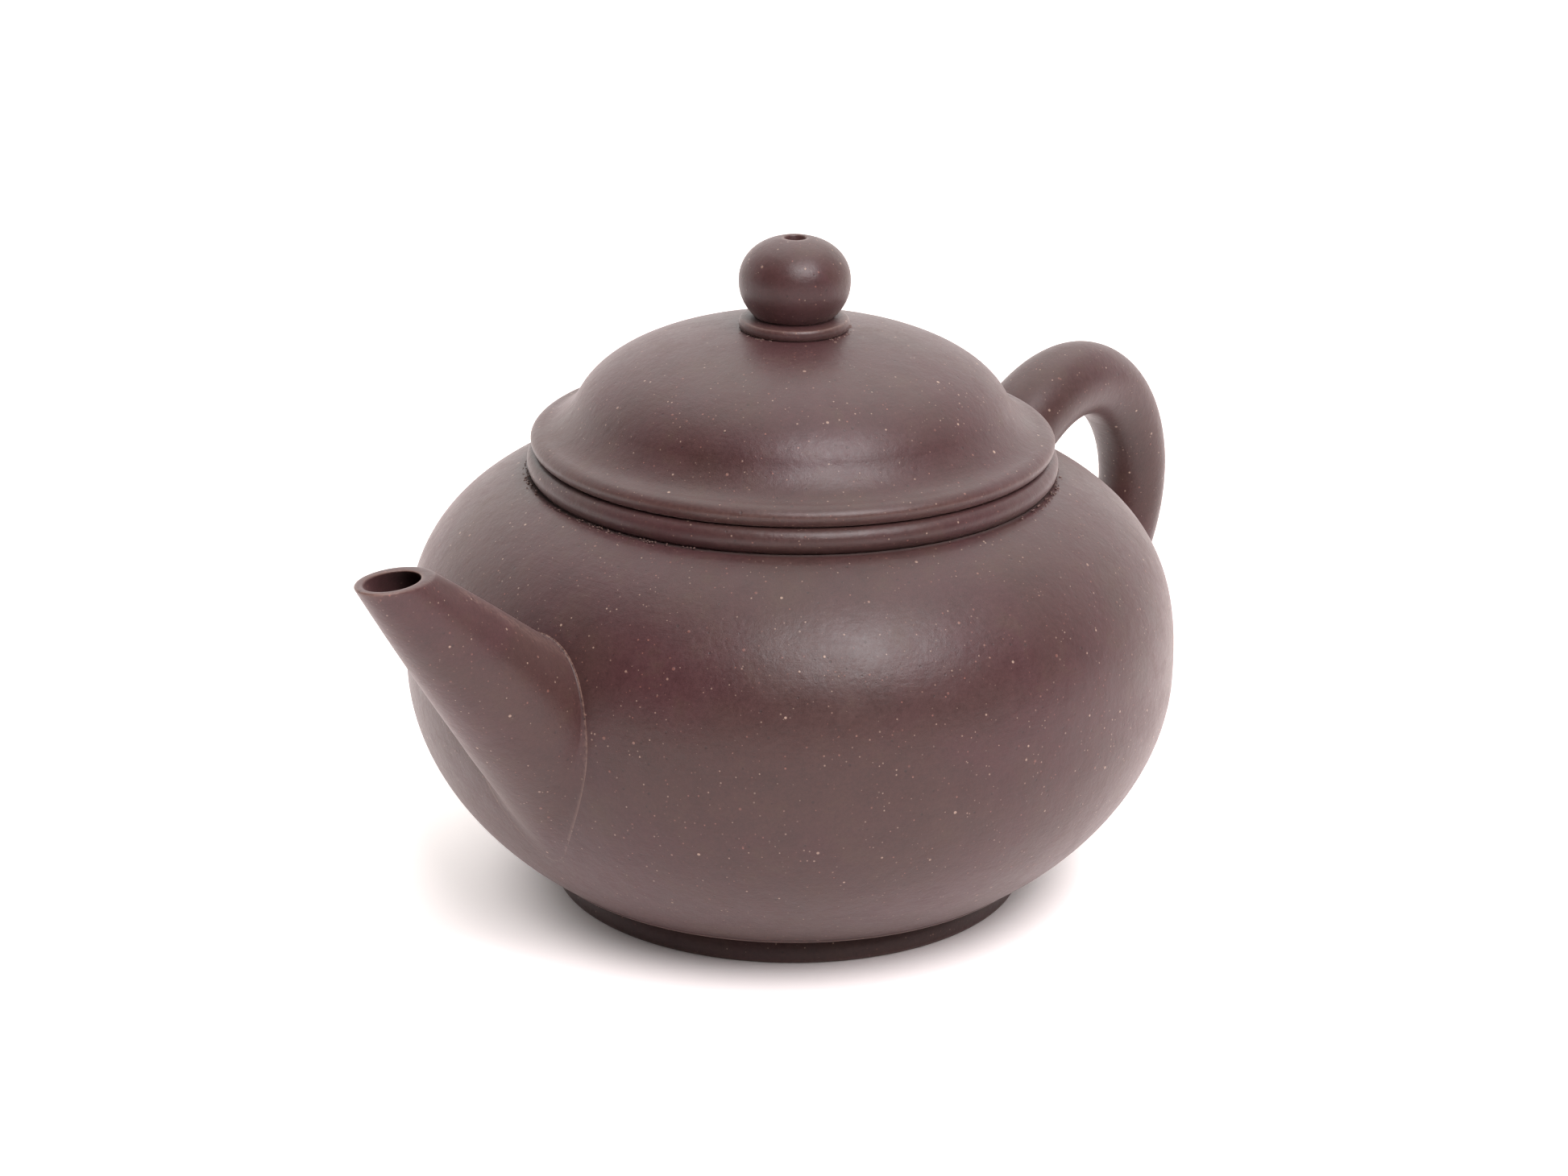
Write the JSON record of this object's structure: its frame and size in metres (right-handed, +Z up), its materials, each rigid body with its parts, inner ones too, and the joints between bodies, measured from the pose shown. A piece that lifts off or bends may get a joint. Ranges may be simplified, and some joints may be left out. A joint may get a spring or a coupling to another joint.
{
  "type": "yixing clay teapot",
  "caption": "Small round unglazed clay teapot with a straight tapered spout, ear-shaped handle, low foot ring and lift-off domed lid with a vented ball knob.",
  "frame": {"origin": "centre of the foot ring's underside, on the surface that the pot stands on", "axes": "+Z up along the axis of the belly and the lid, +X towards the spout, -X towards the handle"},
  "size_m": [0.1262, 0.08, 0.0691],
  "materials": {
    "purple_clay": null,
    "inner_clay": "the same clay, left as it came from the tool, dry and matte",
    "foot_clay": "the same clay, darker and slightly rubbed where the pot stands"
  },
  "bodies": {
    "pot": {"belly_shell": "purple_clay", "base_disc": "foot_clay", "foot_ring": "foot_clay", "mouth_disc": "inner_clay", "neck_ring": "purple_clay", "spout": "purple_clay", "strainer": "inner_clay", "handle": "purple_clay"},
    "lid": {"lid_flange": "purple_clay", "lid_dome": "purple_clay", "lid_skirt": "inner_clay", "knob_collar": "purple_clay", "knob": "purple_clay"}
  },
  "joints": [
    {"name": "lid_lift", "type": "slide", "parent": "pot", "child": "lid", "axis": [0, 0, 1], "range_m": [0, 0.06]}
  ]
}
